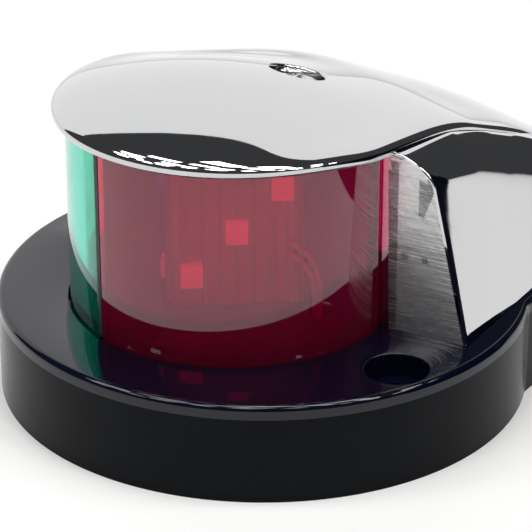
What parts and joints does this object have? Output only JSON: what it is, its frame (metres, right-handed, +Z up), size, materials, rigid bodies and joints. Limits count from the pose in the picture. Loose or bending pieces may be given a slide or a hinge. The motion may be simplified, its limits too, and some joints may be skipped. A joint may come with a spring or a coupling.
{
  "type": "bi-colour bow navigation light",
  "caption": "Low bow navigation light: black oval base, plated visor housing and tail, red port and green starboard lenses over LED boards, screws to a deck.",
  "frame": {"origin": "on the mounting face, under the axis of the two lenses", "axes": "+Z up off the deck, the bow towards -Y, port (red) towards +X, tail towards +Y"},
  "size_m": [0.0762, 0.1125, 0.0479],
  "materials": {
    "black_moulding": "glossy black moulding",
    "gasket_rubber": "soft black rubber",
    "cover_plastic": "satin black moulding",
    "stainless": "turned stainless steel",
    "green_laminate": "green solder mask",
    "ferrite": "dark sintered ferrite",
    "capacitor_case": "moulded case with tinned ends",
    "chip_epoxy": "black epoxy",
    "carrier_aluminium": "plain extruded aluminium",
    "led_laminate": "white solder mask",
    "red_led": "clear resin over a red emitter",
    "green_led": "clear resin over a green emitter",
    "wire_insulation": "extruded insulation",
    "divider_plastic": "matt black moulding",
    "red_lens": "transparent red polycarbonate",
    "green_lens": "transparent green polycarbonate",
    "brass": "knurled brass",
    "chrome_plating": "bright chrome plate"
  },
  "bodies": {
    "light_base": {"base": "black_moulding", "base_gasket": "gasket_rubber", "bottom_cover": "cover_plastic", "cover_screws": "stainless", "wire_grommet": "gasket_rubber", "driver_board": "green_laminate", "board_screws": "stainless", "inductor": "ferrite", "capacitors": "capacitor_case", "driver_chips": "chip_epoxy", "led_carrier": "carrier_aluminium", "carrier_screws": "stainless", "led_board_port": "led_laminate", "led_board_starboard": "led_laminate", "port_leds": "red_led", "starboard_leds": "green_led", "led_wires_port": "wire_insulation", "led_wires_starboard": "wire_insulation", "lens_divider": "divider_plastic", "lens_seal": "gasket_rubber", "red_lens": "red_lens", "green_lens": "green_lens", "threaded_insert": "brass"},
    "housing": {"housing": "chrome_plating"},
    "top_screw": {"top_screw": "stainless", "top_screw_seal": "gasket_rubber"}
  },
  "joints": [
    {"name": "housing_lift", "type": "slide", "parent": "light_base", "child": "housing", "axis": [0, 0, 1], "range_m": [0, 0.036]},
    {"name": "top_screw_out", "type": "slide", "parent": "housing", "child": "top_screw", "axis": [0, 0, 1], "range_m": [0, 0.024]}
  ]
}
